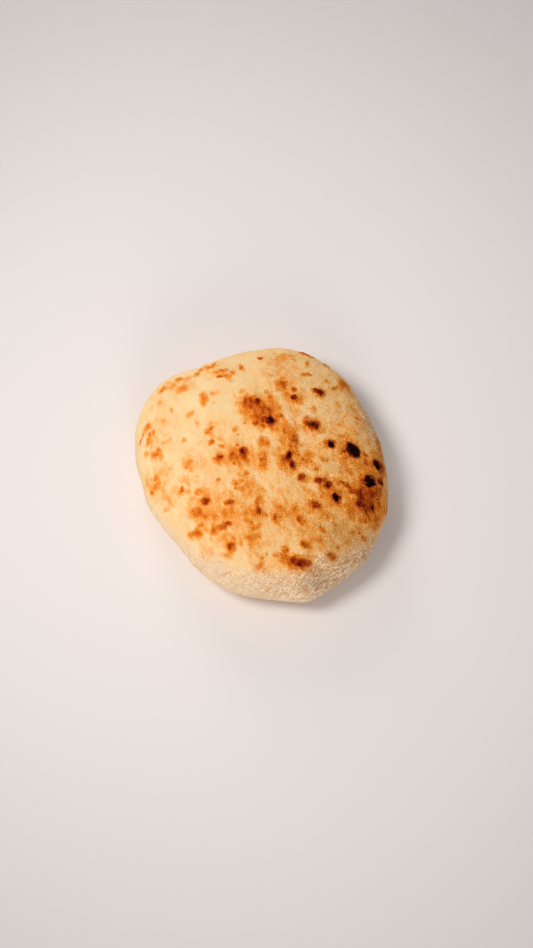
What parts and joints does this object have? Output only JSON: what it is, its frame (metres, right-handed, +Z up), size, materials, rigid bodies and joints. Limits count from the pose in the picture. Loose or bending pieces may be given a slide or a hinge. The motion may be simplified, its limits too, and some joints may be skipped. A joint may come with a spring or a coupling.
{
  "type": "mollete bread roll",
  "caption": "Soft flat round bread roll, uncut, toasted in patches on top and dusted with flour on one side.",
  "frame": {"origin": "on the flat base that the bread rests on, under the middle of its bounding box", "axes": "+Z up through the toasted top, +Y along the longer way across the bread, with the floury side towards -Y"},
  "size_m": [0.1166, 0.127, 0.0352],
  "materials": {
    "crust": "matte, toasted bread crust with a dusting of flour"
  },
  "bodies": {
    "root": {"mollete": "crust"}
  },
  "joints": []
}
